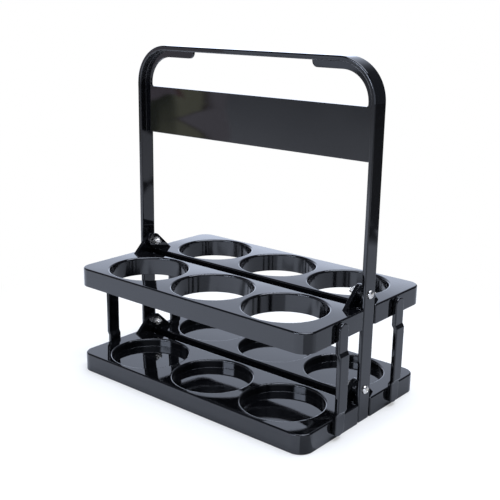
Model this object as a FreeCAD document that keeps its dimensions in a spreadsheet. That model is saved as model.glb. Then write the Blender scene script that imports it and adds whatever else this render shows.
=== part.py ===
import FreeCAD, Part
import math
import os
import Sketcher

# Foldable six-bottle caddy. Lengths in millimetres.
# Origin on the floor under the middle of the caddy, X along the handle, front at -Y, Z up.

doc = FreeCAD.newDocument("bottle_caddy")
sheet = doc.addObject("Spreadsheet::Sheet", "Sheet")

# Driving dimensions
DIMENSIONS = [
    # Bottle holes and the land left round them
    ("hole_dia", 82),
    ("rim_round", 2),
    ("hole_land", 4.7),
    ("inner_land", 2.2),
    ("outer_land", 3.8),
    ("end_land", 16.3),
    # Half trays
    ("middle_gap", 14),
    ("tray_height", 19.4),
    ("tray_wall", 3),
    ("top_plate", 2.6),
    ("collar_wall", 2.5),
    ("cup_depth", 8.7),
    ("cup_plate", 2.4),
    ("cup_round", 0.25),
    ("corner_round", 14),
    ("edge_round", 1.6),
    ("step_round", 1.2),
    # Recess for the leg in the end of each half tray
    ("leg_side_gap", 1.2),
    ("leg_back_gap", 1.2),
    # Folding room
    ("fold_end_gap", 3.8),
    ("fold_side_gap", 3.3),
    # Pivot ears
    ("ear_reach", 26),
    ("ear_sink", 1),
    ("knuckle_dia", 16),
    ("ear_wall", 4),
    ("ear_gap", 0.25),
    ("pivot_clearance", 0.08),
    # Pivot screws, nuts and spacers
    ("screw_dia", 5),
    ("head_dia", 8.6),
    ("head_height", 2.8),
    ("recess_length", 4.8),
    ("recess_width", 1.1),
    ("recess_depth", 1.4),
    ("nut_flats", 8),
    ("nut_height", 4),
    ("thread_end", 4),
    ("thread_clearance", 0.05),
    ("spacer_dia", 9),
    ("spacer_length", 1),
    # Handle
    ("leg_width", 18.4),
    ("flange_wall", 4.5),
    ("bar_wall", 5),
    ("end_inset", 0.5),
    ("handle_corner", 40),
    ("web_depth", 12),
    ("web_wall", 3),
    ("tab_end", 75),
    ("tab_round", 6),
    ("panel_rise", 23.8),
    ("panel_height", 49),
    ("panel_corner", 2.2),
    ("grip_side", 1.2),
    ("flange_round", 1.4),
    # Links
    ("link_width", 14.2),
    ("link_wall", 4.2),
    ("link_gap", 0.6),
    ("link_offset", 2),
    ("link_reach", 48.5),
    ("peg_rise", 10.5),
    ("low_joggle", 14.2),
    ("high_joggle", 20.1),
    ("joggle_length", 3.4),
    ("link_round", 0.9),
    ("peg_dia", 6),
    ("peg_clearance", 0.08),
    ("open_peg_clearance", 0.35),
    ("snap_dia", 7.6),
    ("snap_height", 2),
    ("snap_gap", 0.3),
    ("slot_width", 1.2),
    ("slot_depth", 4),
    # Overrun of every through cut
    ("overrun", 1),
]


class Size:
    """A length that carries its value and the formula that binds it to the sheet."""

    def __init__(self, value, text):
        self.value = value
        self.text = text

    def __add__(self, other):
        other = size_of(other)
        return Size(self.value + other.value, "(%s + %s)" % (self.text, other.text))

    def __sub__(self, other):
        other = size_of(other)
        return Size(self.value - other.value, "(%s - %s)" % (self.text, other.text))

    def __mul__(self, factor):
        return Size(self.value * factor, "(%s * %r)" % (self.text, factor))

    def __truediv__(self, factor):
        return Size(self.value / factor, "(%s / %r)" % (self.text, factor))

    def __neg__(self):
        return Size(-self.value, "(-1 * %s)" % self.text)


def size_of(number):
    if isinstance(number, Size):
        return number
    return Size(float(number), "%r" % float(number))


dim = {}
for row, (alias, number) in enumerate(DIMENSIONS, start=1):
    sheet.set("A%d" % row, alias)
    sheet.set("B%d" % row, str(number))
    sheet.setAlias("B%d" % row, alias)
    dim[alias] = Size(float(number), "Sheet.%s" % alias)
doc.recompute()

overrun = dim["overrun"]
nothing = size_of(0)

# Places worked out from the driving dimensions
hole_radius = dim["hole_dia"] / 2
rim_radius = hole_radius + dim["rim_round"]
hole_pitch = rim_radius * 2 + dim["hole_land"]
inner_edge = dim["middle_gap"] / 2
row_y = inner_edge + dim["inner_land"] + rim_radius
outer_edge = row_y + rim_radius + dim["outer_land"]
tray_end = hole_pitch + rim_radius + dim["end_land"]
leg_outer = tray_end - dim["end_inset"]
leg_inner = leg_outer - dim["flange_wall"]
leg_half = dim["leg_width"] / 2
notch_edge = leg_half + dim["leg_side_gap"]
notch_end = leg_inner - dim["leg_back_gap"]
pivot_rise = leg_half + dim["fold_side_gap"]
tray_spacing = outer_edge - inner_edge + dim["fold_end_gap"]
lower_pivot = dim["tray_height"] + pivot_rise
upper_pivot = lower_pivot + tray_spacing
outer_ear_out = leg_inner - dim["spacer_length"] - dim["ear_gap"]
outer_ear_in = outer_ear_out - dim["ear_wall"]
inner_ear_out = outer_ear_in - dim["ear_gap"]
inner_ear_in = inner_ear_out - dim["ear_wall"]
nut_out = inner_ear_in - dim["ear_gap"]
nut_in = nut_out - dim["nut_height"]
panel_low = upper_pivot + outer_edge + dim["panel_rise"]
panel_top = panel_low + dim["panel_height"]
handle_top = panel_top + dim["panel_corner"] + dim["grip_side"] + dim["handle_corner"]


def plane(body, role):
    for feature in body.Origin.OriginFeatures:
        if feature.Role == role:
            return feature


def new_body(label):
    body = doc.addObject("PartDesign::Body", label)
    body.Label = label
    return body


def new_sketch(body, name, role, offset=None):
    sketch = body.newObject("Sketcher::SketchObject", name)
    sketch.AttachmentSupport = [(plane(body, role), "")]
    sketch.MapMode = "FlatFace"
    if offset is not None:
        sketch.setExpression("AttachmentOffset.Base.z", offset.text)
    return sketch


def bind(sketch, kind, places, size):
    index = sketch.addConstraint(Sketcher.Constraint(kind, *places, size.value))
    sketch.setExpression("Constraints[%d]" % index, size.text)


def pin(sketch, geo, end, x, y):
    if x is nothing:
        sketch.addConstraint(Sketcher.Constraint("PointOnObject", geo, end, -2))
    else:
        bind(sketch, "DistanceX", (-1, 1, geo, end), x)
    if y is nothing:
        sketch.addConstraint(Sketcher.Constraint("PointOnObject", geo, end, -1))
    else:
        bind(sketch, "DistanceY", (-1, 1, geo, end), y)


def vector(x, y):
    return FreeCAD.Vector(x.value, y.value, 0)


def polygon(sketch, points):
    """Closed outline through the given points."""
    first = sketch.GeometryCount
    count = len(points)
    for i, start in enumerate(points):
        end = points[(i + 1) % count]
        sketch.addGeometry(Part.LineSegment(vector(*start), vector(*end)), False)
    for i in range(count):
        follower = first + (i + 1) % count
        sketch.addConstraint(Sketcher.Constraint("Coincident", first + i, 2, follower, 1))
    for i, start in enumerate(points):
        pin(sketch, first + i, 1, *start)


def sign(number):
    return (number > 0) - (number < 0)


def rounded(sketch, points):
    """Closed outline of square corners, each point with the radius of its corner or None."""
    count = len(points)
    corners = []
    for i, (x, y, radius) in enumerate(points):
        if radius is None:
            corners.append(((x, y), (x, y), None, None))
            continue
        before = points[i - 1]
        after = points[(i + 1) % count]
        in_x = sign(before[0].value - x.value)
        in_y = sign(before[1].value - y.value)
        out_x = sign(after[0].value - x.value)
        out_y = sign(after[1].value - y.value)
        start = (x + radius * in_x, y + radius * in_y)
        end = (x + radius * out_x, y + radius * out_y)
        centre = (x + radius * (in_x + out_x), y + radius * (in_y + out_y))
        corners.append((start, end, centre, radius))
    chain = []
    for i, (start, end, centre, radius) in enumerate(corners):
        if radius is not None:
            middle = vector(*centre)
            spoke_a = vector(*start) - middle
            spoke_b = vector(*end) - middle
            low = math.atan2(spoke_a.y, spoke_a.x)
            high = math.atan2(spoke_b.y, spoke_b.x)
            turned = (high - low) % (2 * math.pi) > math.pi
            if turned:
                low, high = high, low
            circle = Part.Circle(middle, FreeCAD.Vector(0, 0, 1), radius.value)
            geo = sketch.addGeometry(Part.ArcOfCircle(circle, low, high), False)
            ends = (2, 1) if turned else (1, 2)
            chain.append((geo, ends[0], ends[1], radius))
        following = corners[(i + 1) % count][0]
        geo = sketch.addGeometry(Part.LineSegment(vector(*end), vector(*following)), False)
        chain.append((geo, 1, 2, None))
        pin(sketch, geo, 1, *end)
        if corners[(i + 1) % count][3] is not None:
            pin(sketch, geo, 2, *following)
    for i, (geo, start, end, radius) in enumerate(chain):
        follower = chain[(i + 1) % len(chain)]
        sketch.addConstraint(Sketcher.Constraint("Coincident", geo, end, follower[0], follower[1]))
        if radius is not None:
            bind(sketch, "Radius", (geo,), radius)


def box(sketch, left, right, low, high):
    rounded(sketch, [(left, low, None), (right, low, None), (right, high, None), (left, high, None)])


def disc(sketch, x, y, diameter):
    circle = Part.Circle(vector(x, y), FreeCAD.Vector(0, 0, 1), diameter.value / 2)
    geo = sketch.addGeometry(circle, False)
    pin(sketch, geo, 3, x, y)
    bind(sketch, "Diameter", (geo,), diameter)


def grow(body, name, sketch, length):
    feature = body.newObject("PartDesign::Pad", name)
    feature.Profile = sketch
    feature.setExpression("Length", length.text)
    doc.recompute()
    return feature


def cut(body, name, sketch, length):
    """Cut against the normal of the sketch, and make sure that it removes material."""
    before = body.Shape.Volume
    feature = body.newObject("PartDesign::Pocket", name)
    feature.Profile = sketch
    feature.setExpression("Length", length.text)
    doc.recompute()
    if not body.Shape.Volume < before:
        raise RuntimeError("%s in %s cuts nothing" % (name, body.Label))
    return feature


def soften(body, name, radius, chosen):
    """Round the edges of the tip that the test chooses."""
    base = body.Tip
    edges = ["Edge%d" % (i + 1) for i, edge in enumerate(base.Shape.Edges) if chosen(edge)]
    feature = body.newObject("PartDesign::Fillet", name)
    feature.Base = (base, edges)
    feature.setExpression("Radius", radius.text)
    doc.recompute()
    return feature


def near(a, b):
    return abs(a - b) < 1e-4


def all_at(edge, axis, place):
    return all(near(getattr(vertex.Point, axis), place.value) for vertex in edge.Vertexes)


def is_round(edge, radius):
    if edge.Degenerated:
        return False
    return isinstance(edge.Curve, Part.Circle) and near(edge.Curve.Radius, radius.value)


def place(body, lift=None, turned=False, shift=None):
    if turned:
        body.Placement = FreeCAD.Placement(FreeCAD.Vector(), FreeCAD.Rotation(FreeCAD.Vector(0, 0, 1), 180))
    if lift is not None:
        body.setExpression("Placement.Base.z", lift.text)
    if shift is not None:
        body.setExpression("Placement.Base.y", shift.text)
    doc.recompute()


# Half trays, drawn as front halves standing on the floor
def tray(label, floored, peg_room, lift, turned):
    body = new_body(label)
    height = dim["tray_height"]

    outline = new_sketch(body, label + "_outline", "XY_Plane")
    rounded(outline, [
        (-tray_end, -outer_edge, dim["corner_round"]),
        (tray_end, -outer_edge, dim["corner_round"]),
        (tray_end, -notch_edge, dim["step_round"]),
        (notch_end, -notch_edge, None),
        (notch_end, -inner_edge, dim["step_round"]),
        (-notch_end, -inner_edge, dim["step_round"]),
        (-notch_end, -notch_edge, None),
        (-tray_end, -notch_edge, dim["step_round"]),
    ])
    grow(body, label + "_block", outline, height)
    soften(body, label + "_top_edge", dim["edge_round"], lambda edge: all_at(edge, "z", height))

    # Hollow underside within the walls
    wall = dim["tray_wall"]
    under = height - dim["top_plate"]
    side = tray_end - wall
    step = notch_end - wall
    hollow = new_sketch(body, label + "_hollow_outline", "XY_Plane", under)
    rounded(hollow, [
        (-side, -outer_edge + wall, dim["corner_round"] - wall),
        (side, -outer_edge + wall, dim["corner_round"] - wall),
        (side, -notch_edge - wall, None),
        (step, -notch_edge - wall, None),
        (step, -inner_edge - wall, None),
        (-step, -inner_edge - wall, None),
        (-step, -notch_edge - wall, None),
        (-side, -notch_edge - wall, None),
    ])
    cut(body, label + "_hollow", hollow, under + overrun)

    # Collars and the holes through them
    columns = (-hole_pitch, nothing, hole_pitch)
    cup_level = height - dim["cup_depth"]
    collar_foot = cup_level - dim["cup_plate"] if floored else nothing
    collars = new_sketch(body, label + "_collar_rings", "XY_Plane", collar_foot)
    for x in columns:
        disc(collars, x, -row_y, dim["hole_dia"] + dim["collar_wall"] * 2)
    grow(body, label + "_collars", collars, height - dim["top_plate"] / 2 - collar_foot)
    holes = new_sketch(body, label + "_hole_rings", "XY_Plane", height)
    for x in columns:
        disc(holes, x, -row_y, dim["hole_dia"])
    depth = dim["cup_depth"] if floored else height + overrun
    cut(body, label + "_holes", holes, depth)
    soften(body, label + "_rims", dim["rim_round"],
           lambda edge: is_round(edge, hole_radius) and all_at(edge, "z", height))
    if floored:
        soften(body, label + "_cup_corners", dim["cup_round"],
               lambda edge: is_round(edge, hole_radius) and all_at(edge, "z", cup_level))

    # Ears that carry the half tray on the pivot screws, the right one in the inner layer
    pivot = height + pivot_rise
    knuckle = dim["knuckle_dia"] / 2
    base = height - dim["ear_sink"]
    for end, start in (("right", inner_ear_in), ("left", -outer_ear_out)):
        ear = new_sketch(body, "%s_ear_%s" % (label, end), "YZ_Plane", start)
        foot_out = (-dim["ear_reach"], base)
        foot_in = (-inner_edge - dim["edge_round"], base)
        middle = FreeCAD.Vector(0, pivot.value, 0)
        angles = []
        for foot, turn in ((foot_out, -1), (foot_in, 1)):
            way = vector(*foot) - middle
            angles.append(math.atan2(way.y, way.x) + turn * math.acos(knuckle.value / way.Length))
        spokes = [middle + FreeCAD.Vector(math.cos(a), math.sin(a), 0) * knuckle.value for a in angles]
        sole = ear.addGeometry(Part.LineSegment(vector(*foot_out), vector(*foot_in)), False)
        inner = ear.addGeometry(Part.LineSegment(vector(*foot_in), spokes[1]), False)
        circle = Part.Circle(middle, FreeCAD.Vector(0, 0, 1), knuckle.value)
        turn_end = angles[0] % (2 * math.pi)
        turn_start = angles[1] % (2 * math.pi)
        if turn_end < turn_start:
            turn_end = turn_end + 2 * math.pi
        crown = ear.addGeometry(Part.ArcOfCircle(circle, turn_start, turn_end), False)
        outer = ear.addGeometry(Part.LineSegment(spokes[0], vector(*foot_out)), False)
        ear.addConstraint(Sketcher.Constraint("Coincident", sole, 2, inner, 1))
        ear.addConstraint(Sketcher.Constraint("Tangent", inner, 2, crown, 1))
        ear.addConstraint(Sketcher.Constraint("Tangent", crown, 2, outer, 1))
        ear.addConstraint(Sketcher.Constraint("Coincident", outer, 2, sole, 1))
        pin(ear, sole, 1, *foot_out)
        pin(ear, sole, 2, *foot_in)
        pin(ear, crown, 3, nothing, pivot)
        bind(ear, "Radius", (crown,), knuckle)
        grow(body, "%s_ear_plate_%s" % (label, end), ear, dim["ear_wall"])
    reach = outer_ear_out + overrun
    bore = new_sketch(body, label + "_pivot_ring", "YZ_Plane", reach)
    disc(bore, nothing, pivot, dim["screw_dia"] + dim["pivot_clearance"] * 2)
    cut(body, label + "_pivot_bore", bore, reach * 2)

    # Holes in the end walls for the pegs of the links
    for end, start in (("right", tray_end + overrun), ("left", -tray_end + wall + overrun)):
        ring = new_sketch(body, "%s_peg_ring_%s" % (label, end), "YZ_Plane", start)
        disc(ring, -dim["link_reach"], dim["peg_rise"], dim["peg_dia"] + peg_room * 2)
        cut(body, "%s_peg_hole_%s" % (label, end), ring, wall + overrun * 2)
    place(body, lift=lift, turned=turned)
    return body


# Handle with both legs, the web round the corners and the cross panel
def handle(label):
    body = new_body(label)
    strip = new_sketch(body, label + "_strip_outline", "XZ_Plane", -leg_half)
    corner = dim["handle_corner"]
    wall = dim["flange_wall"]
    bar = dim["bar_wall"]
    rounded(strip, [
        (-leg_outer, nothing, None),
        (-leg_outer, handle_top, corner),
        (leg_outer, handle_top, corner),
        (leg_outer, nothing, None),
        (leg_inner, nothing, None),
        (leg_inner, handle_top - bar, corner - bar),
        (-leg_inner, handle_top - bar, corner - bar),
        (-leg_inner, nothing, None),
    ])
    grow(body, label + "_strip", strip, dim["leg_width"])
    soften(body, label + "_strip_edges", dim["flange_round"],
           lambda edge: all_at(edge, "y", leg_half) or all_at(edge, "y", -leg_half))

    plate = new_sketch(body, label + "_web_outline", "XZ_Plane", -dim["web_wall"] / 2)
    root = leg_outer - wall / 2
    crown = handle_top - wall / 2
    rim = leg_outer - dim["web_depth"]
    lip = handle_top - dim["web_depth"]
    tab = dim["tab_end"]
    outside = corner - wall / 2
    inside = corner - dim["web_depth"]
    rounded(plate, [
        (-root, panel_low, None),
        (root, panel_low, None),
        (root, crown, outside),
        (tab, crown, None),
        (tab, lip, dim["tab_round"]),
        (rim, lip, inside),
        (rim, panel_top, dim["panel_corner"]),
        (-rim, panel_top, dim["panel_corner"]),
        (-rim, lip, inside),
        (-tab, lip, dim["tab_round"]),
        (-tab, crown, None),
        (-root, crown, outside),
    ])
    grow(body, label + "_web", plate, dim["web_wall"])

    reach = leg_outer + overrun
    for name, height in (("lower", lower_pivot), ("upper", upper_pivot)):
        ring = new_sketch(body, "%s_%s_ring" % (label, name), "YZ_Plane", reach)
        disc(ring, nothing, height, dim["screw_dia"] + dim["thread_clearance"] * 2)
        cut(body, "%s_%s_bore" % (label, name), ring, reach * 2)
    return body


# Links, drawn at the front right end
def link(label, turned, shift):
    body = new_body(label)
    half = dim["link_width"] / 2
    inner = tray_end + dim["link_gap"]
    outer = inner + dim["link_wall"]
    raised = inner + dim["link_offset"]
    raised_out = raised + dim["link_wall"]
    low_peg = dim["peg_rise"]
    high_peg = low_peg + tray_spacing
    foot = low_peg - half
    head = high_peg + half
    rise = low_peg + dim["low_joggle"]
    risen = rise + dim["joggle_length"]
    fallen = high_peg - dim["high_joggle"]
    fall = fallen - dim["joggle_length"]
    profile = new_sketch(body, label + "_profile", "XZ_Plane", dim["link_reach"] - half)
    polygon(profile, [
        (inner, foot),
        (outer, foot),
        (outer, rise),
        (raised_out, risen),
        (raised_out, fall),
        (outer, fallen),
        (outer, head),
        (inner, head),
        (inner, fallen),
        (raised, fall),
        (raised, risen),
        (inner, rise),
    ])
    grow(body, label + "_strip", profile, dim["link_width"])
    end_share = 0.98
    soften(body, label + "_ends", half * end_share,
           lambda edge: all_at(edge, "z", foot) and not all_at(edge, "x", inner) and not all_at(edge, "x", outer)
           or all_at(edge, "z", head) and not all_at(edge, "x", inner) and not all_at(edge, "x", outer))
    soften(body, label + "_outer_edges", dim["link_round"],
           lambda edge: all(vertex.Point.x > (raised.value + outer.value) / 2 for vertex in edge.Vertexes)
           and not any(all_at(edge, "z", kink) for kink in (rise, risen, fall, fallen)))

    # Snap pegs through the end walls
    tip = tray_end - dim["tray_wall"] - dim["snap_gap"] - dim["snap_height"]
    pegs = new_sketch(body, label + "_peg_rings", "YZ_Plane", tip)
    snaps = new_sketch(body, label + "_snap_rings", "YZ_Plane", tip)
    slots = new_sketch(body, label + "_slot_outlines", "YZ_Plane", tip + dim["slot_depth"])
    for height in (low_peg, high_peg):
        disc(pegs, -dim["link_reach"], height, dim["peg_dia"])
        disc(snaps, -dim["link_reach"], height, dim["snap_dia"])
        box(slots, -dim["link_reach"] - dim["snap_dia"], -dim["link_reach"] + dim["snap_dia"],
            height - dim["slot_width"] / 2, height + dim["slot_width"] / 2)
    grow(body, label + "_pegs", pegs, inner - tip + dim["link_wall"] / 2)
    grow(body, label + "_snaps", snaps, dim["snap_height"])
    cut(body, label + "_slots", slots, dim["slot_depth"] + overrun)
    place(body, turned=turned, shift=shift)
    return body


# Pivot screws, drawn at the right end about the X axis
def screw(label, lift, turned):
    body = new_body(label)
    profile = new_sketch(body, label + "_profile", "XZ_Plane")
    shank = dim["screw_dia"] / 2
    head = dim["head_dia"] / 2
    crown = leg_outer + dim["head_height"]
    side_share = 0.45
    crown_share = 0.62
    polygon(profile, [
        (nut_in - dim["thread_end"], nothing),
        (crown, nothing),
        (crown, head * crown_share),
        (leg_outer + dim["head_height"] * side_share, head),
        (leg_outer, head),
        (leg_outer, shank),
        (nut_in - dim["thread_end"], shank),
    ])
    turning = body.newObject("PartDesign::Revolution", label + "_turning")
    turning.Profile = profile
    turning.ReferenceAxis = (profile, ["H_Axis"])
    turning.Angle = 360
    doc.recompute()
    cross = new_sketch(body, label + "_recess_outline", "YZ_Plane", crown)
    long_half = dim["recess_length"] / 2
    short_half = dim["recess_width"] / 2
    polygon(cross, [
        (-long_half, -short_half),
        (-short_half, -short_half),
        (-short_half, -long_half),
        (short_half, -long_half),
        (short_half, -short_half),
        (long_half, -short_half),
        (long_half, short_half),
        (short_half, short_half),
        (short_half, long_half),
        (-short_half, long_half),
        (-short_half, short_half),
        (-long_half, short_half),
    ])
    cut(body, label + "_recess", cross, dim["recess_depth"])
    place(body, lift=lift, turned=turned)
    return body


def nut(label, lift, turned):
    body = new_body(label)
    outline = new_sketch(body, label + "_outline", "YZ_Plane", nut_in)
    flat = dim["nut_flats"] / 2
    half_side = flat * math.tan(math.pi / 6)
    point = half_side * 2
    polygon(outline, [
        (nothing, -point),
        (flat, -half_side),
        (flat, half_side),
        (nothing, point),
        (-flat, half_side),
        (-flat, -half_side),
    ])
    disc(outline, nothing, nothing, dim["screw_dia"] + dim["thread_clearance"] * 2)
    grow(body, label + "_block", outline, dim["nut_height"])
    place(body, lift=lift, turned=turned)
    return body


def spacer(label, lift, turned):
    body = new_body(label)
    outline = new_sketch(body, label + "_outline", "YZ_Plane", leg_inner - dim["spacer_length"])
    disc(outline, nothing, nothing, dim["spacer_dia"])
    disc(outline, nothing, nothing, dim["screw_dia"] + dim["thread_clearance"] * 2)
    grow(body, label + "_sleeve", outline, dim["spacer_length"])
    place(body, lift=lift, turned=turned)
    return body


pieces = [handle("handle")]
for level, floored, lift, peg_room in (
        ("lower", True, None, dim["peg_clearance"]),
        ("upper", False, tray_spacing, dim["open_peg_clearance"])):
    pieces.append(tray("tray_%s_front" % level, floored, peg_room, lift, False))
    pieces.append(tray("tray_%s_rear" % level, floored, peg_room, lift, True))
link_shift = dim["link_reach"] * 2
pieces.append(link("link_front_right", False, None))
pieces.append(link("link_rear_right", False, link_shift))
pieces.append(link("link_rear_left", True, None))
pieces.append(link("link_front_left", True, -link_shift))
for level, pivot in (("lower", lower_pivot), ("upper", upper_pivot)):
    for end, turned in (("right", False), ("left", True)):
        pieces.append(screw("screw_%s_%s" % (level, end), pivot, turned))
        pieces.append(nut("nut_%s_%s" % (level, end), pivot, turned))
        pieces.append(spacer("spacer_%s_%s" % (level, end), pivot, turned))

doc.recompute()
for thing in doc.Objects:
    if "Invalid" in thing.State or "Error" in thing.State:
        raise RuntimeError("%s failed: %s" % (thing.Label, thing.State))
for piece in pieces:
    if piece.Shape.isNull() or not piece.Shape.isValid() or len(piece.Shape.Solids) != 1:
        raise RuntimeError("%s has no sound solid" % piece.Label)

os.makedirs("parts", exist_ok=True)
for piece in pieces:
    piece.Shape.exportStep("parts/%s.step" % piece.Label)
    bounds = piece.Shape.BoundBox
    print("%-20s volume %9.1f  x %7.2f %7.2f  y %7.2f %7.2f  z %7.2f %7.2f" % (
        piece.Label, piece.Shape.Volume, bounds.XMin, bounds.XMax, bounds.YMin, bounds.YMax, bounds.ZMin, bounds.ZMax))
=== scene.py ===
import bmesh
import bpy
import math
from mathutils import Matrix, Vector


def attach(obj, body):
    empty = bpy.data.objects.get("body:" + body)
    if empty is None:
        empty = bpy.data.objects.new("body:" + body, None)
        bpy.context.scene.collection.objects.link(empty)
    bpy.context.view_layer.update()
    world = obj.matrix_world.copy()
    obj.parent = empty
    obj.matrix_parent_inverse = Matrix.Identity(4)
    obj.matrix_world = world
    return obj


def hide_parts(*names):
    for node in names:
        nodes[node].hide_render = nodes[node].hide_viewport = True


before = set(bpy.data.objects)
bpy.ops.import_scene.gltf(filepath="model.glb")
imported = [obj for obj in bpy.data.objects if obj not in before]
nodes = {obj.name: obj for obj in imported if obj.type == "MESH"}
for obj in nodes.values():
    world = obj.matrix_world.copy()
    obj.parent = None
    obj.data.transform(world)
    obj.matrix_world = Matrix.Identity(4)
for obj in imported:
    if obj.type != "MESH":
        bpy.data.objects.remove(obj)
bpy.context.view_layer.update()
scene = bpy.context.scene
mm = 0.001


# Node trees

COLUMN_WIDTH = 220
ROW_HEIGHT = 180
# Sockets of a Mix node that mixes colours
MIX_FACTOR, MIX_LOW, MIX_HIGH, MIX_RESULT = 0, 6, 7, 2


def new_node(tree, kind, **settings):
    node = tree.nodes.new(kind)
    for name, value in settings.items():
        setattr(node, name, value)
    return node


def feed(tree, socket, value):
    """Link an output to a socket, or set the socket to a plain value."""
    if hasattr(value, "links"):
        tree.links.new(value, socket)
    else:
        socket.default_value = value


def math_step(tree, operation, *values, clamp=False):
    node = new_node(tree, "ShaderNodeMath", operation=operation, use_clamp=clamp)
    for socket, value in zip(node.inputs, values):
        feed(tree, socket, value)
    return node.outputs[0]


def times(tree, *masks):
    product = masks[0]
    for mask in masks[1:]:
        product = math_step(tree, "MULTIPLY", product, mask)
    return product


def vector_step(tree, operation, *vectors):
    node = new_node(tree, "ShaderNodeVectorMath", operation=operation)
    for socket, vector in zip(node.inputs, vectors):
        feed(tree, socket, vector)
    return node.outputs["Value" if operation in ("DOT_PRODUCT", "LENGTH") else "Vector"]


def split(tree, vector):
    """Outputs X, Y and Z of a vector."""
    node = new_node(tree, "ShaderNodeSeparateXYZ")
    tree.links.new(vector, node.inputs[0])
    return node.outputs


def map_range(tree, value, span, to=(0.0, 1.0), smooth=True):
    node = new_node(tree, "ShaderNodeMapRange")
    node.interpolation_type = "SMOOTHSTEP" if smooth else "LINEAR"
    tree.links.new(value, node.inputs["Value"])
    for name, number in zip(("From Min", "From Max", "To Min", "To Max"), (*span, *to)):
        feed(tree, node.inputs[name], number)
    return node.outputs["Result"]


def noise(tree, vector, scale, **settings):
    node = new_node(tree, "ShaderNodeTexNoise")
    tree.links.new(vector, node.inputs["Vector"])
    feed(tree, node.inputs["Scale"], scale)
    for name, value in settings.items():
        node.inputs[name.title()].default_value = value
    return node.outputs["Fac"]


def two_colours(tree, mask, low, high):
    """Mix of two colours, each a plain colour or an output."""
    node = new_node(tree, "ShaderNodeMix", data_type="RGBA")
    tree.links.new(mask, node.inputs[MIX_FACTOR])
    for place, colour in ((MIX_LOW, low), (MIX_HIGH, high)):
        plain = not hasattr(colour, "links")
        feed(tree, node.inputs[place], (*colour, 1.0) if plain else colour)
    return node.outputs[MIX_RESULT]


def two_shaders(tree, mask, low, high):
    node = new_node(tree, "ShaderNodeMixShader")
    for socket, value in zip(node.inputs, (mask, low, high)):
        tree.links.new(value, socket)
    return node.outputs[0]


def arrange(tree):
    """Set the nodes out in columns, from the output back."""
    column = {node.name: 0 for node in tree.nodes}
    for _ in tree.nodes:
        for link in tree.links:
            before, after = link.from_node.name, link.to_node.name
            column[before] = max(column[before], column[after] + 1)
    filled = {}
    for node in tree.nodes:
        place = column[node.name]
        row = filled.get(place, 0)
        node.location = (-COLUMN_WIDTH * place, -ROW_HEIGHT * row)
        filled[place] = row + 1


def new_group(name, inputs, outputs):
    """Shader node group of number sockets: the inputs with their values, the outputs by name."""
    tree = bpy.data.node_groups.new(name, "ShaderNodeTree")
    for label, value in inputs.items():
        socket = tree.interface.new_socket(label, in_out="INPUT", socket_type="NodeSocketFloat")
        socket.default_value = value
    for label in outputs:
        tree.interface.new_socket(label, in_out="OUTPUT", socket_type="NodeSocketFloat")
    given = new_node(tree, "NodeGroupInput").outputs
    made = new_node(tree, "NodeGroupOutput").inputs
    return tree, given, made


def place_group(tree, group, **values):
    node = new_node(tree, "ShaderNodeGroup", node_tree=group)
    for name, value in values.items():
        node.inputs[name.replace("_", " ").title()].default_value = value
    return node.outputs


def new_material(name):
    material = bpy.data.materials.new(name)
    material.use_nodes = True
    material.node_tree.nodes.clear()
    return material, material.node_tree


def show(tree, shader, kind="ShaderNodeOutputMaterial"):
    """Put a shader out as the surface and set the tree in order."""
    tree.links.new(shader, new_node(tree, kind).inputs["Surface"])
    arrange(tree)


# Groups

# Trays: middle of a row of holes, spacing and size of the holes
ROW_MIDDLE = 52.2 * mm
HOLE_SPACING = 90.7 * mm
HOLE_RADIUS = 41.0 * mm
# A corner rises from here on, counted along both edges from the middle of the last hole
CORNER_START = 58.0 * mm
CORNER_BLEND = 4.0 * mm
FLOW_SIZE = 46.0
FLOW_SPAN = (0.3, 0.75)
# Draw marks lie on upright faces inside the holes, and run up and down
BORE_SPAN = (HOLE_RADIUS + 0.5 * mm, HOLE_RADIUS + 1.0 * mm)
UPRIGHT_SPAN = (0.2, 0.5)
MARK_STRETCH = (1.0, 1.0, 0.03)
MARK_SIZE = 700.0
MARK_HEIGHT = 0.06
MARK_ROUGHNESS = 0.085


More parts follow.
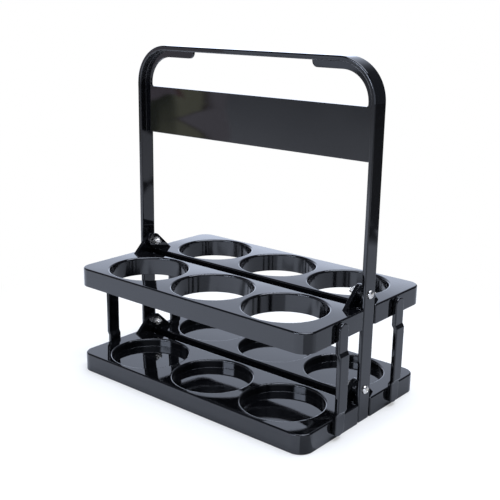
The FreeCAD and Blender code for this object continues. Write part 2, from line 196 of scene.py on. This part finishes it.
def moulded_skin():
    """Skin of moulded plastic: slow waves, fine grain, flow tone and gloss breaks.

    Trays add the crown of their top plates, lifted corners, and draw marks in holes and cups.
    """
    tree, given, made = new_group("moulded_skin", {
        "Wave Size": 20.0, "Wave Height": 1.0, "Grain Size": 2600.0, "Grain Height": 0.012,
        "Low Gloss": 0.14, "High Gloss": 0.06, "Crown": 0.0, "Corner Lift": 0.0,
        "Draw Marks": 0.0}, ("Tone", "Roughness", "Height"))
    place = new_node(tree, "ShaderNodeTexCoord").outputs
    wave = noise(tree, place["Object"], given["Wave Size"], detail=1.0, roughness=0.35)
    grain = noise(tree, place["Object"], given["Grain Size"], detail=2.0)
    flow = noise(tree, place["Object"], FLOW_SIZE, detail=5.0, distortion=0.8)
    gloss = map_range(tree, flow, FLOW_SPAN, (given["High Gloss"], given["Low Gloss"]))
    high = math_step(tree, "MULTIPLY", wave, given["Wave Height"])
    fine = math_step(tree, "MULTIPLY", grain, given["Grain Height"])
    skin = math_step(tree, "ADD", high, fine)

    axes = split(tree, place["Object"])
    beyond = math_step(tree, "SUBTRACT", math_step(tree, "ABSOLUTE", axes["Y"]), ROW_MIDDLE)
    across = math_step(tree, "MULTIPLY", beyond, beyond)
    drop = math_step(tree, "MULTIPLY", across, given["Crown"])
    skin = math_step(tree, "SUBTRACT", skin, drop)
    middle = math_step(tree, "ABSOLUTE", axes["X"])
    beside = math_step(tree, "SUBTRACT", middle, HOLE_SPACING)
    corner = math_step(tree, "ADD", beside, beyond)
    corner = math_step(tree, "SUBTRACT", corner, CORNER_START)
    corner = math_step(tree, "SMOOTH_MAX", corner, 0.0, CORNER_BLEND)
    skin = math_step(tree, "MULTIPLY_ADD", corner, given["Corner Lift"], skin)

    column = math_step(tree, "MINIMUM", middle, math_step(tree, "ABSOLUTE", beside))
    reach = math_step(tree, "MULTIPLY_ADD", column, column, across)
    squares = [radius ** 2 for radius in BORE_SPAN]
    inside = map_range(tree, reach, squares, (1.0, 0.0), smooth=False)
    tilt = math_step(tree, "ABSOLUTE", split(tree, place["Normal"])["Z"])
    upright = map_range(tree, tilt, UPRIGHT_SPAN, (1.0, 0.0), smooth=False)
    bore = times(tree, inside, upright, given["Draw Marks"])
    stretched = vector_step(tree, "MULTIPLY", place["Object"], MARK_STRETCH)
    marks = math_step(tree, "MULTIPLY", noise(tree, stretched, MARK_SIZE), bore)

    feed(tree, made["Tone"], flow)
    feed(tree, made["Roughness"], math_step(tree, "MULTIPLY_ADD", bore, MARK_ROUGHNESS, gloss))
    feed(tree, made["Height"], math_step(tree, "MULTIPLY_ADD", marks, MARK_HEIGHT, skin))
    arrange(tree)
    return tree


RUB_SAMPLES = 4
RUB_TURN = (0.995, 0.88)
RUB_BREAKS = (0.42, 0.66)


def edge_rub():
    """Mask along the edges of a piece, broken up as handling leaves it."""
    tree, given, made = new_group("edge_rub", {"Width": 0.6 * mm, "Breaks": 180.0}, ("Mask",))
    facing = new_node(tree, "ShaderNodeNewGeometry").outputs["Normal"]
    rounded = new_node(tree, "ShaderNodeBevel", samples=RUB_SAMPLES)
    feed(tree, rounded.inputs["Radius"], given["Width"])
    turn = vector_step(tree, "DOT_PRODUCT", facing, rounded.outputs["Normal"])
    edge = map_range(tree, turn, RUB_TURN)
    place = new_node(tree, "ShaderNodeTexCoord").outputs["Object"]
    breaks = noise(tree, place, given["Breaks"], detail=4.0)
    feed(tree, made["Mask"], times(tree, edge, map_range(tree, breaks, RUB_BREAKS)))
    arrange(tree)
    return tree


DUST_FACING = (0.55, 0.98)
DUST_SPECKS = (0.58, 0.72)


def settled_dust():
    """Thin dust on the faces of a piece that look up as it stands."""
    tree, given, made = new_group("settled_dust", {"Amount": 0.1, "Speck Size": 900.0}, ("Mask",))
    place = new_node(tree, "ShaderNodeTexCoord").outputs
    up = map_range(tree, split(tree, place["Normal"])["Z"], DUST_FACING)
    specks = noise(tree, place["Object"], given["Speck Size"], detail=3.0)
    specks = map_range(tree, specks, DUST_SPECKS)
    feed(tree, made["Mask"], times(tree, up, specks, given["Amount"]))
    arrange(tree)
    return tree


CLOUD_SPAN = (0.3, 0.7)
PLATING_ROUGHNESS = (0.19, 0.33)


def plating_grain():
    """Bright zinc plating: crystal grain, faint colour of the passivation and dull spots."""
    tree, given, made = new_group("plating_grain", {"Grain Size": 1500.0, "Cloud Size": 260.0},
                                  ("Cloud", "Roughness", "Height"))
    place = new_node(tree, "ShaderNodeTexCoord").outputs["Object"]
    grain = new_node(tree, "ShaderNodeTexVoronoi")
    feed(tree, grain.inputs["Vector"], place)
    feed(tree, grain.inputs["Scale"], given["Grain Size"])
    cloud = noise(tree, place, given["Cloud Size"], detail=4.0)
    dull = map_range(tree, cloud, CLOUD_SPAN, PLATING_ROUGHNESS, smooth=False)
    feed(tree, made["Cloud"], cloud)
    feed(tree, made["Roughness"], dull)
    feed(tree, made["Height"], grain.outputs["Distance"])
    arrange(tree)
    return tree


SKIN = moulded_skin()
RUB = edge_rub()
DUST = settled_dust()
PLATING = plating_grain()


# Materials

BLACK_TONES = ((0.0015, 0.0016, 0.0020), (0.0029, 0.0030, 0.0036))
BLACK_RUBBED = (0.022, 0.022, 0.024)
DUST_COLOUR = (0.24, 0.23, 0.22)
RUB_ROUGHNESS = 0.10
DUST_ROUGHNESS = 0.4
EDGE_SAMPLES = 12
SKIN_DEPTH = 0.2 * mm
PLASTIC_IOR = 1.56
ZINC_TONES = ((0.86, 0.82, 0.76), (0.95, 0.90, 0.81))
ZINC_RUBBED = (0.97, 0.94, 0.88)
ZINC_RUB_WIDTH = 0.4 * mm
ZINC_DEPTH = 0.05 * mm
ZINC_STRENGTH = 0.12


def bumped(tree, height, depth, strength=1.0):
    node = new_node(tree, "ShaderNodeBump")
    node.inputs["Strength"].default_value = strength
    node.inputs["Distance"].default_value = depth
    tree.links.new(height, node.inputs["Height"])
    return node


def principled(tree, colour, roughness, normal, **settings):
    shader = new_node(tree, "ShaderNodeBsdfPrincipled")
    for name, value in settings.items():
        shader.inputs[name].default_value = value
    tree.links.new(colour, shader.inputs["Base Color"])
    tree.links.new(roughness, shader.inputs["Roughness"])
    tree.links.new(normal, shader.inputs["Normal"])
    return shader.outputs["BSDF"]


def black_gloss(name, low_gloss, high_gloss, dust, edge, **skin_values):
    """Glossy black moulded plastic."""
    material, tree = new_material(name)
    skin = place_group(tree, SKIN, low_gloss=low_gloss, high_gloss=high_gloss, **skin_values)
    rub = place_group(tree, RUB)["Mask"]
    specks = place_group(tree, DUST, amount=dust)["Mask"]
    colour = two_colours(tree, skin["Tone"], *BLACK_TONES)
    colour = two_colours(tree, rub, colour, BLACK_RUBBED)
    colour = two_colours(tree, specks, colour, DUST_COLOUR)
    rough = math_step(tree, "MULTIPLY_ADD", rub, RUB_ROUGHNESS, skin["Roughness"])
    rough = math_step(tree, "MULTIPLY_ADD", specks, DUST_ROUGHNESS, rough)
    soft = new_node(tree, "ShaderNodeBevel", samples=EDGE_SAMPLES)
    soft.inputs["Radius"].default_value = edge
    bump = bumped(tree, skin["Height"], SKIN_DEPTH)
    tree.links.new(soft.outputs["Normal"], bump.inputs["Normal"])
    show(tree, principled(tree, colour, rough, bump.outputs["Normal"], IOR=PLASTIC_IOR))
    return material


def zinc_plate(name):
    """Bright zinc on the screws, nuts and spacers."""
    material, tree = new_material(name)
    plating = place_group(tree, PLATING)
    rub = place_group(tree, RUB, width=ZINC_RUB_WIDTH)["Mask"]
    colour = two_colours(tree, plating["Cloud"], *ZINC_TONES)
    colour = two_colours(tree, rub, colour, ZINC_RUBBED)
    bump = bumped(tree, plating["Height"], ZINC_DEPTH, ZINC_STRENGTH)
    show(tree, principled(tree, colour, plating["Roughness"], bump.outputs["Normal"],
                          Metallic=1.0))
    return material


TRAY_SKIN = {"wave_size": 16.0, "wave_height": 2.2, "low_gloss": 0.055, "high_gloss": 0.02,
             "dust": 0.05, "edge": 0.5 * mm, "crown": 1300.0, "draw_marks": 1.0}
HANDLE_SKIN = {"wave_size": 11.0, "wave_height": 6.0, "low_gloss": 0.035, "high_gloss": 0.012,
               "dust": 0.03, "edge": 0.8 * mm}
LINK_SKIN = {"wave_size": 30.0, "wave_height": 1.0, "low_gloss": 0.08, "high_gloss": 0.035,
             "dust": 0.03, "edge": 1.5 * mm}
ZINC = zinc_plate("zinc_bright")
# Finishes by the start of a node's name
FINISHES = {"handle": black_gloss("handle_black", **HANDLE_SKIN),
            "tray_upper": black_gloss("tray_black", **TRAY_SKIN),
            "tray_lower": black_gloss("cup_black", corner_lift=115.0, **TRAY_SKIN),
            "link": black_gloss("link_black", **LINK_SKIN),
            "screw": ZINC, "nut": ZINC, "spacer": ZINC}
for name, node in nodes.items():
    node.data.materials.clear()
    finish = next(FINISHES[start] for start in FINISHES if name.startswith(start))
    node.data.materials.append(finish)


# Screws and nuts of the four pivots, modelled on the right and along X

PIVOTS = {"lower": 31.9 * mm, "upper": 127.7 * mm}
TWISTS = {"lower": 0.5, "upper": 1.1}
LEFT_TWIST = 0.4
LEG_OUTER = 149.5 * mm
NUT_INNER = 131.25 * mm
NUT_HEIGHT = 4.0 * mm

SCREW_SIDES = 64
SCREW_SMOOTH = 38
SHANK_RADIUS = 2.5 * mm
THREAD_END = 4.0 * mm
THREAD_PITCH = 0.8 * mm
THREAD_STEP = THREAD_PITCH / 8
THREAD_ROWS = 44
THREAD_DEPTH = 0.36 * mm
THREAD_CREST = 1.25
THREAD_RUN_OUT = 0.3 * mm
TIP_LENGTH = 0.7 * mm
TIP_SHARE = 0.82
HEAD_RADIUS = 4.3 * mm
HEAD_HEIGHT = 2.8 * mm
HEAD_SIDE = 0.8 * mm
HEAD_BREAK = 0.15 * mm
HEAD_SHARES = (0.985, 0.96, 0.92, 0.86, 0.78, 0.68, 0.56, 0.42, 0.26, 0.1)
HEAD_ROUNDING = (2.6, 1 / 1.7)
# Recess of the head: height over the crown, half length and half width of a wing
RECESS_LEVELS = ((0.4 * mm, 2.55 * mm, 0.62 * mm), (-1.7 * mm, 1.2 * mm, 0.38 * mm))

NUT_SIDES = 96
NUT_SMOOTH = 26
NUT_FLAT = 4.0 * mm
NUT_FACE = 3.75 * mm
NUT_SLOPE = math.tan(math.radians(30))
NUT_RISES = [0.08 * mm * k for k in range(1, 8)]
NUT_BORE = 2.42 * mm
SINK_WIDTH = 0.4 * mm
SINK_DEPTH = 0.45 * mm


def ring_skin(name, rings, closed_ends):
    """Skin over rings of equal count, with capped ends or else joined from last to first."""
    shape = bmesh.new()
    loops = [[shape.verts.new(point) for point in ring] for ring in rings]
    count = len(loops[0])
    pairs = list(zip(loops, loops[1:]))
    if not closed_ends:
        pairs.append((loops[-1], loops[0]))
    for before, after in pairs:
        for i in range(count):
            j = (i + 1) % count
            shape.faces.new((before[i], before[j], after[j], after[i]))
    if closed_ends:
        shape.faces.new(reversed(loops[0]))
        shape.faces.new(loops[-1])
    bmesh.ops.recalc_face_normals(shape, faces=shape.faces)
    mesh = bpy.data.meshes.new(name)
    shape.to_mesh(mesh)
    shape.free()
    obj = bpy.data.objects.new(name, mesh)
    scene.collection.objects.link(obj)
    return obj


def turned_ring(x, radius):
    angles = [2 * math.pi * i / SCREW_SIDES for i in range(SCREW_SIDES)]
    return [(x, radius * math.cos(angle), radius * math.sin(angle)) for angle in angles]


def apply_modifiers(obj):
    ready = obj.evaluated_get(bpy.context.evaluated_depsgraph_get())
    obj.data = bpy.data.meshes.new_from_object(ready)
    obj.modifiers.clear()


def smooth_by_angle(mesh, degrees):
    mesh.shade_smooth()
    mesh.set_sharp_from_angle(angle=math.radians(degrees))


def driver_cross():
    """Tapered cross of a driver bit, for the recess of the screw heads."""
    wings = []
    for turn in (0.0, math.pi / 2):
        rings = []
        for rise, long_half, short_half in RECESS_LEVELS:
            x = LEG_OUTER + HEAD_HEIGHT + rise
            corners = ((-long_half, -short_half), (long_half, -short_half),
                       (long_half, short_half), (-long_half, short_half))
            rings.append([(x, a * math.cos(turn) - b * math.sin(turn),
                           a * math.sin(turn) + b * math.cos(turn)) for a, b in corners])
        wings.append(ring_skin("driver_wing", rings, True))
    return wings


def thread_ring(x, tip):
    """Ring of a rolled thread, which starts in a cone at the tip of the screw."""
    cone = min(1.0, (x - tip) / TIP_LENGTH)
    core = (SHANK_RADIUS - THREAD_DEPTH) * (TIP_SHARE + (1 - TIP_SHARE) * cone)
    ring = []
    for i in range(SCREW_SIDES):
        angle = 2 * math.pi * i / SCREW_SIDES
        turn = (x / THREAD_PITCH - i / SCREW_SIDES) % 1.0
        flank = abs(2 * turn - 1)
        radius = core + THREAD_DEPTH * min(1.0, flank * THREAD_CREST) * cone
        ring.append((x, radius * math.cos(angle), radius * math.sin(angle)))
    return ring


def pan_head_screw(name):
    """Pan head with a cross recess, plain shank and a rolled thread at the end."""
    tip = NUT_INNER - THREAD_END
    rings = [thread_ring(tip + row * THREAD_STEP, tip) for row in range(THREAD_ROWS)]
    thread_stop = rings[-1][0][0]
    rings += [turned_ring(thread_stop + THREAD_RUN_OUT, SHANK_RADIUS),
              turned_ring(LEG_OUTER, SHANK_RADIUS),
              turned_ring(LEG_OUTER, HEAD_RADIUS - HEAD_BREAK),
              turned_ring(LEG_OUTER + HEAD_BREAK, HEAD_RADIUS),
              turned_ring(LEG_OUTER + HEAD_SIDE, HEAD_RADIUS)]
    across, up = HEAD_ROUNDING
    for share in HEAD_SHARES:
        rise = (HEAD_HEIGHT - HEAD_SIDE) * (1 - share ** across) ** up
        rings.append(turned_ring(LEG_OUTER + HEAD_SIDE + rise, HEAD_RADIUS * share))
    screw = ring_skin(name, rings, True)
    for wing in driver_cross():
        recess = screw.modifiers.new("recess", "BOOLEAN")
        recess.object = wing
        recess.solver = "EXACT"
        apply_modifiers(screw)
        bpy.data.objects.remove(wing)
    smooth_by_angle(screw.data, SCREW_SMOOTH)
    return screw


def nut_ring(x, limit):
    """Ring round the hexagon of the nut, cut back to a circle where that is smaller."""
    ring = []
    for i in range(NUT_SIDES):
        angle = 2 * math.pi * i / NUT_SIDES
        corner = (angle + math.pi / 6) % (math.pi / 3) - math.pi / 6
        radius = min(NUT_FLAT / math.cos(corner), limit)
        ring.append((x, radius * math.sin(angle), radius * math.cos(angle)))
    return ring


def hex_nut(name):
    """Hexagon nut, chamfered round both faces and countersunk at the bore."""
    far = NUT_INNER + NUT_HEIGHT
    rings = [nut_ring(NUT_INNER + SINK_DEPTH, NUT_BORE),
             nut_ring(NUT_INNER, NUT_BORE + SINK_WIDTH),
             nut_ring(NUT_INNER, NUT_FACE)]
    rings += [nut_ring(NUT_INNER + rise, NUT_FACE + rise / NUT_SLOPE) for rise in NUT_RISES]
    rings += [nut_ring(far - rise, NUT_FACE + rise / NUT_SLOPE) for rise in reversed(NUT_RISES)]
    rings += [nut_ring(far, NUT_FACE),
              nut_ring(far, NUT_BORE + SINK_WIDTH),
              nut_ring(far - SINK_DEPTH, NUT_BORE)]
    nut = ring_skin(name, rings, False)
    smooth_by_angle(nut.data, NUT_SMOOTH)
    return nut


def fit_pivots():
    """One screw and one nut at each pivot, the left ones turned round."""
    for kind, made in (("screw", pan_head_screw("pan_head")), ("nut", hex_nut("chamfered_nut"))):
        for level, rise in PIVOTS.items():
            for end, turn in (("right", 0.0), ("left", math.pi)):
                twist = TWISTS[level] + (LEFT_TWIST if end == "left" else 0.0)
                mesh = made.data.copy()
                mesh.transform(Matrix.Translation((0, 0, rise)) @ Matrix.Rotation(turn, 4, "Z")
                               @ Matrix.Rotation(twist, 4, "X"))
                mesh.materials.clear()
                mesh.materials.append(ZINC)
                piece = bpy.data.objects.new("%s_%s_%s_detailed" % (kind, level, end), mesh)
                scene.collection.objects.link(piece)
                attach(piece, "handle")
                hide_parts("%s_%s_%s" % (kind, level, end))
        bpy.data.objects.remove(made)


fit_pivots()


# Floor

# Painted shade where flags would dim the reflections: x from and to, y from and to, soft edge,
# amount
PAINTED_FLAG_SHADE = ((-0.4, -0.165, -0.23, -0.157, 0.03, 0.78), (-0.09, 0.13, -0.262, -0.218, 0.012, 0.75))
# Painted shade on the floor behind on the right, near and far
REAR_RIGHT = (0.6, 0.8, 0.0)
REAR_NEAR, REAR_NEAR_DIM = (0.02, 0.11), 0.46
REAR_FAR, REAR_FAR_DIM = (0.4, 0.65), 0.06
# Wedge of painted shade that the front right corners of the trays show
WEDGE_TIP = (0.132, -0.081, 0.0)
WEDGE_SIDES = ((0.819, 0.574, 0.0), (0.242, -0.97, 0.0))
WEDGE_EDGE, WEDGE_DIM = (-0.001, 0.003), 0.55
# Lane of painted shade behind on the right that only the upper half of the right leg shows
LANE_ACROSS = (1.0, -0.828, 0.0)
LANE_SHIFT = -0.0025
LANE_TURN = 0.661
LANE_EDGE, LANE_DIM = (-0.00012, -0.00002), 0.935
LANE_START = (0.46, 0.62)
LANE_STOP = (1.15, 1.3)

FIBRE_SIZE = 400.0
PAPER_TONES = ((0.93, 0.93, 0.94), (0.95, 0.95, 0.95))
PAPER_DISTANCE, PAPER_DISTANT_TONE = (0.45, 1.0), (0.98, 0.95, 0.92)
CAMERA_TONES = ((0.955, 0.92, 0.845), (0.975, 0.94, 0.865))
UNLIT = (0.0, 0.0, 0.0)
SHADOW_REACH, SHADOW_FADE = (0.2, 0.45), (0.4, 1.0)
FLOOR_LOW = -0.0004
FLOOR_EDGE = ((-4.0, -4.0), (4.0, -4.0), (4.0, 4.0), (-4.0, 4.0))


def floor_painted_shade(tree, point):
    """How much painted shade darkens the floor in reflections: behind, in the wedge and lane, at
    the flags.
    """
    rear = vector_step(tree, "DOT_PRODUCT", point, REAR_RIGHT)
    near = map_range(tree, rear, REAR_NEAR, (0.0, REAR_NEAR_DIM))
    dim = math_step(tree, "ADD", near, map_range(tree, rear, REAR_FAR, (0.0, REAR_FAR_DIM)))

    from_tip = vector_step(tree, "SUBTRACT", point, WEDGE_TIP)
    sides = [map_range(tree, vector_step(tree, "DOT_PRODUCT", from_tip, way), WEDGE_EDGE)
             for way in WEDGE_SIDES]
    dim = math_step(tree, "MAXIMUM", dim, times(tree, *sides, WEDGE_DIM))

    axes = split(tree, point)
    across = vector_step(tree, "DOT_PRODUCT", point, LANE_ACROSS)
    across = math_step(tree, "ADD", across, LANE_SHIFT)
    ahead = math_step(tree, "SUBTRACT", LANE_TURN, axes["Y"])
    lane = map_range(tree, times(tree, across, ahead), LANE_EDGE, (0.0, LANE_DIM))
    lane = times(tree, lane, map_range(tree, axes["Y"], LANE_START))
    past = map_range(tree, axes["Y"], LANE_STOP, (0.0, LANE_DIM))
    dim = math_step(tree, "MAXIMUM", dim, math_step(tree, "MAXIMUM", lane, past))

    for left, right, front, back, soft, amount in PAINTED_FLAG_SHADE:
        masks = []
        for axis, low, high in (("X", left, right), ("Y", front, back)):
            masks.append(map_range(tree, axes[axis], (low - soft, low + soft)))
            masks.append(map_range(tree, axes[axis], (high - soft, high + soft), (1.0, 0.0)))
        dim = math_step(tree, "MULTIPLY_ADD", times(tree, *masks), amount, dim, clamp=True)
    return dim


def white_paper(name):
    """Floor with a light shadow near the caddy, plain white further out.

    Reflections show it warmer in the distance and dimmed in places. The camera sees it in a
    warm tone, which leaves the shadow neutral under the bluish lights.
    """
    material, tree = new_material(name)
    point = new_node(tree, "ShaderNodeTexCoord").outputs["Object"]
    seen = new_node(tree, "ShaderNodeLightPath").outputs["Is Camera Ray"]
    unseen = math_step(tree, "SUBTRACT", 1.0, seen)
    fibre = noise(tree, point, FIBRE_SIZE)
    reach = vector_step(tree, "LENGTH", point)
    distant = times(tree, map_range(tree, reach, PAPER_DISTANCE), unseen)
    tone = two_colours(tree, fibre, *PAPER_TONES)
    tone = two_colours(tree, distant, tone, PAPER_DISTANT_TONE)
    tone = two_colours(tree, seen, tone, two_colours(tree, fibre, *CAMERA_TONES))
    # Painted shade on the floor, for reflections only
    shade = times(tree, floor_painted_shade(tree, point), unseen)
    paper = new_node(tree, "ShaderNodeBsdfDiffuse")
    tree.links.new(two_colours(tree, shade, tone, UNLIT), paper.inputs["Color"])
    glow = new_node(tree, "ShaderNodeEmission")
    plain = times(tree, map_range(tree, reach, SHADOW_REACH, SHADOW_FADE), seen)
    show(tree, two_shaders(tree, plain, paper.outputs[0], glow.outputs[0]))
    return material


def sheet_of(name, corners, material):
    mesh = bpy.data.meshes.new(name)
    mesh.from_pydata(corners, [], [tuple(range(len(corners)))])
    mesh.materials.append(material)
    obj = bpy.data.objects.new(name, mesh)
    scene.collection.objects.link(obj)
    return obj


sheet_of("floor", [(x, y, FLOOR_LOW) for x, y in FLOOR_EDGE], white_paper("white_paper"))


# Lights

def softbox(name, place, aim, width, height, radiance, colour):
    """Area light of one radiance all over its face."""
    data = bpy.data.lights.new(name, "AREA")
    data.shape = "RECTANGLE"
    data.size = width
    data.size_y = height
    data.energy = radiance * math.pi * width * height
    data.color = colour
    lamp = bpy.data.objects.new(name, data)
    lamp.location = place
    lamp.rotation_euler = (Vector(aim) - Vector(place)).to_track_quat("-Z", "Y").to_euler()
    lamp.visible_camera = False
    scene.collection.objects.link(lamp)


softbox("ceiling_light", place=(0.47, 0.4, 3.2), aim=(0.47, 0.4, 0.0), width=2.8, height=2.8,
        radiance=6.2, colour=(0.88, 0.96, 1.14))
softbox("front_light", place=(-0.115, -0.97, 0.455), aim=(0.0, 0.0, 0.05), width=0.57,
        height=0.14, radiance=15.0, colour=(0.85, 0.96, 1.2))


# Card in front on the left, for the reflections at the left of the panel

CARD_RIGHT = Vector((-1.085, -1.192, 0.0))
CARD_WAY = Vector((-0.911, 0.412, 0.0))
CARD_LENGTH = 0.75
CARD_HEIGHT = 0.5
# The dark part reaches to the right in a tongue, and its edge is ragged
TONGUE_HEIGHT = 0.06
TONGUE_OVER = 0.026
TONGUE_UNDER = 0.04
TONGUE_REACH = (0.142, 0.014)
RAGGED_SIZE = 16.0
RAGGED_WIDTH = 0.05
CARD_EDGE = (-0.004, 0.004)
PALE_TONE = (0.66, 0.63, 0.73)
OLIVE_DEEPENS = (0.14, 0.185)
OLIVE_TONES = ((0.68, 0.69, 0.52), (0.14, 0.155, 0.11))
# Ruddy patch in the dark part
PATCH_BOTTOM, PATCH_COVER = (0.12, 0.13), 0.9
PATCH_TOP = (0.15, 0.158)
PATCH_SIDE = (0.116, 0.126)
PATCH_TURNS = (0.14, 0.155)
PATCH_TONES = ((0.42, 0.24, 0.26), (0.55, 0.48, 0.58))
# Dark line along the ragged edge, and the plain part above
LINE_WIDTH, LINE_COVER = (0.004, 0.013), 0.75
LINE_TONE = (0.16, 0.12, 0.12)
PLAIN_FROM = (0.17, 0.195)
PLAIN_TONE = (0.60, 0.57, 0.67)


def olive_card(name):
    """Glowing card, seen only in reflections: pale, dark olive on the left behind a ragged edge,
    and plain above.
    """
    material, tree = new_material(name)
    point = new_node(tree, "ShaderNodeTexCoord").outputs["Object"]
    height = split(tree, point)["Z"]
    left = vector_step(tree, "SUBTRACT", point, CARD_RIGHT)
    left = vector_step(tree, "DOT_PRODUCT", left, CARD_WAY)
    off = math_step(tree, "SUBTRACT", height, TONGUE_HEIGHT)
    over = math_step(tree, "DIVIDE", off, TONGUE_OVER)
    under = math_step(tree, "DIVIDE", off, -TONGUE_UNDER)
    off = math_step(tree, "MAXIMUM", over, under)
    tongue = map_range(tree, off, (0.0, 1.0), TONGUE_REACH, smooth=False)
    ragged = noise(tree, point, RAGGED_SIZE, distortion=1.2)
    edge = math_step(tree, "MULTIPLY_ADD", ragged, RAGGED_WIDTH, tongue)
    inside = math_step(tree, "SUBTRACT", left, edge)

    olive = two_colours(tree, map_range(tree, left, OLIVE_DEEPENS), *OLIVE_TONES)
    patch = two_colours(tree, map_range(tree, left, PATCH_TURNS), *PATCH_TONES)
    patched = times(tree, map_range(tree, height, PATCH_BOTTOM, (0.0, PATCH_COVER)),
                    map_range(tree, height, PATCH_TOP, (1.0, 0.0)),
                    map_range(tree, left, PATCH_SIDE))
    olive = two_colours(tree, patched, olive, patch)
    tone = two_colours(tree, map_range(tree, inside, CARD_EDGE), PALE_TONE, olive)
    rim = math_step(tree, "ABSOLUTE", inside)
    line = map_range(tree, rim, LINE_WIDTH, (LINE_COVER, 0.0))
    tone = two_colours(tree, line, tone, LINE_TONE)
    tone = two_colours(tree, map_range(tree, height, PLAIN_FROM), tone, PLAIN_TONE)
    glow = new_node(tree, "ShaderNodeEmission")
    tree.links.new(tone, glow.inputs["Color"])
    show(tree, glow.outputs[0])
    return material


card_end = CARD_RIGHT + CARD_WAY * CARD_LENGTH
card_top = Vector((0.0, 0.0, CARD_HEIGHT))
card_corners = [CARD_RIGHT, card_end, card_end + card_top, CARD_RIGHT + card_top]
card = sheet_of("olive_card", card_corners, olive_card("olive_card"))
card.visible_camera = False
card.visible_shadow = False
card.visible_diffuse = False


# World

WHITE = (1.0, 1.0, 1.0, 1.0)
FILL_COLOUR = (0.86, 0.95, 1.16, 1.0)
FILL_LEAST = 0.09
# Bank of light by height, in the z of a direction
BANK_LOW, BANK_GLOW = (0.22, 0.345), (2.0, 1.04)
BANK_TOP = (0.48, 0.7)
REAR_LEFT = (-0.64, 0.77, 0.0)
REAR_SPAN, REAR_GLOW = (0.0, 0.8), (0.52, 1.0)
FRONT_LEFT = (-0.64, -0.77, 0.0)
FRONT_SPAN = (-0.75, -0.3)
# Flag over the front left of the bank
CLOSED_SPAN, CLOSED_SHARE = (0.15, 0.6), 0.88
CLOSED_RISE = (0.08, 0.22)


def studio_world():
    """White where the camera looks; for all else a low bank of light on the left."""
    world = bpy.data.worlds.new("studio")
    world.use_nodes = True
    tree = world.node_tree
    tree.nodes.clear()
    white = new_node(tree, "ShaderNodeBackground")
    white.inputs["Color"].default_value = WHITE
    fill = new_node(tree, "ShaderNodeBackground")
    fill.inputs["Color"].default_value = FILL_COLOUR
    way = new_node(tree, "ShaderNodeTexCoord").outputs["Generated"]
    height = split(tree, way)["Z"]
    bank = times(tree, map_range(tree, height, BANK_LOW, BANK_GLOW),
                 map_range(tree, height, BANK_TOP, (1.0, 0.0)))
    rear = vector_step(tree, "DOT_PRODUCT", way, REAR_LEFT)
    front = vector_step(tree, "DOT_PRODUCT", way, FRONT_LEFT)
    closed = times(tree, map_range(tree, front, CLOSED_SPAN, (0.0, CLOSED_SHARE)),
                   map_range(tree, height, CLOSED_RISE))
    side = times(tree, map_range(tree, front, FRONT_SPAN),
                 math_step(tree, "SUBTRACT", 1.0, closed),
                 map_range(tree, rear, REAR_SPAN, REAR_GLOW))
    glow = math_step(tree, "MULTIPLY_ADD", bank, side, FILL_LEAST)
    tree.links.new(glow, fill.inputs["Strength"])
    ray = new_node(tree, "ShaderNodeLightPath").outputs
    seen = math_step(tree, "MAXIMUM", ray["Is Camera Ray"], ray["Is Transmission Ray"])
    show(tree, two_shaders(tree, seen, fill.outputs[0], white.outputs[0]), "ShaderNodeOutputWorld")
    scene.world = world


studio_world()
scene.view_settings.view_transform = "Standard"


# Camera, fitted to the photo

CAMERA_PLACE = (0.549655, -0.660961, 0.381609)
YAW, PITCH, ROLL = 0.690234, 0.271805, 0.017184
FOCAL_PIXELS = 866.98
PHOTO_PIXELS = 500
SENSOR_WIDTH = 36.0
CLIP_START = 0.01


def photo_camera():
    ahead = Vector((-math.sin(YAW) * math.cos(PITCH), math.cos(YAW) * math.cos(PITCH),
                    -math.sin(PITCH)))
    level = Vector((math.cos(YAW), math.sin(YAW), 0.0))
    rise = level.cross(ahead)
    right = level * math.cos(ROLL) + rise * math.sin(ROLL)
    up = rise * math.cos(ROLL) - level * math.sin(ROLL)
    data = bpy.data.cameras.new("photo_camera")
    data.sensor_fit = "HORIZONTAL"
    data.sensor_width = SENSOR_WIDTH
    data.lens = FOCAL_PIXELS / PHOTO_PIXELS * SENSOR_WIDTH
    data.clip_start = CLIP_START
    camera = bpy.data.objects.new("photo_camera", data)
    turn = Matrix((right, up, -ahead)).transposed()
    camera.matrix_world = Matrix.Translation(CAMERA_PLACE) @ turn.to_4x4()
    scene.collection.objects.link(camera)
    scene.camera = camera


photo_camera()
